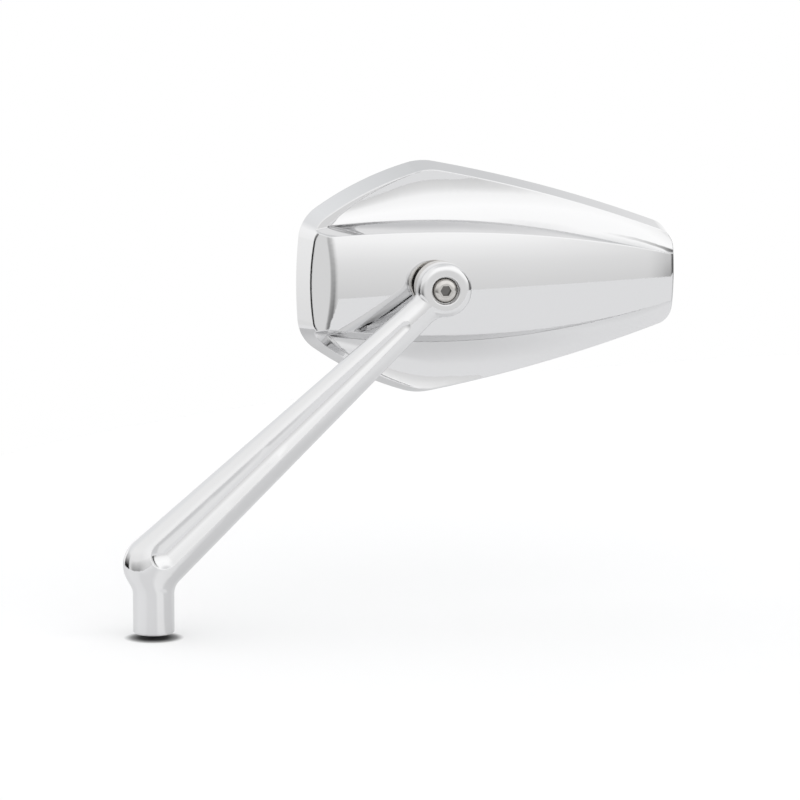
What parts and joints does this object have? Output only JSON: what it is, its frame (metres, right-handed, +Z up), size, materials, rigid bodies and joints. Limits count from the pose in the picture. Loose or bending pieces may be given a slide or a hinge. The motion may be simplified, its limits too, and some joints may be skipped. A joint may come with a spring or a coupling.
{
  "type": "motorcycle mirror",
  "caption": "Chromed motorcycle mirror: a fluted stem with a tapped foot carries a sculpted faceted head with convex glass on a friction ball joint.",
  "frame": {"origin": "centre of the foot's seat, at the mouth of its tapped hole", "axes": "+Z up the foot, away from the handlebar; +X outboard towards the head; the glass faces +Y, towards the rider"},
  "size_m": [0.2368, 0.0669, 0.1864],
  "materials": {
    "chrome": "mirror-polished chrome plating over aluminium",
    "stainless": "plain turned stainless steel",
    "seat_plastic": "matt black acetal",
    "mirror": "silvered convex glass",
    "tape": "matt black foam tape"
  },
  "bodies": {
    "stem": {"stem": "chrome", "pivot_screw": "stainless", "spacer_collar": "stainless", "ball_stud": "stainless"},
    "front_seat": {"front_seat": "seat_plastic"},
    "rear_seat": {"rear_seat": "seat_plastic"},
    "head": {"mirror_shell": "chrome", "clamp_plate": "stainless", "clamp_springs": "stainless", "clamp_screws": "stainless", "mirror_glass": "mirror", "glass_tape": "tape"}
  },
  "joints": [
    {"name": "head_swivel", "type": "hinge", "parent": "stem", "child": "front_seat", "pos_m": [0.119, 0.027, 0.138], "axis": [0, 1, 0], "range_deg": [-12, 12]},
    {"name": "head_tilt", "type": "hinge", "parent": "front_seat", "child": "rear_seat", "pos_m": [0.119, 0.027, 0.138], "axis": [1, 0, 0], "range_deg": [-10, 10]},
    {"name": "head_pan", "type": "hinge", "parent": "rear_seat", "child": "head", "pos_m": [0.119, 0.027, 0.138], "axis": [0, 0, 1], "range_deg": [-16.5, 3.5]}
  ]
}
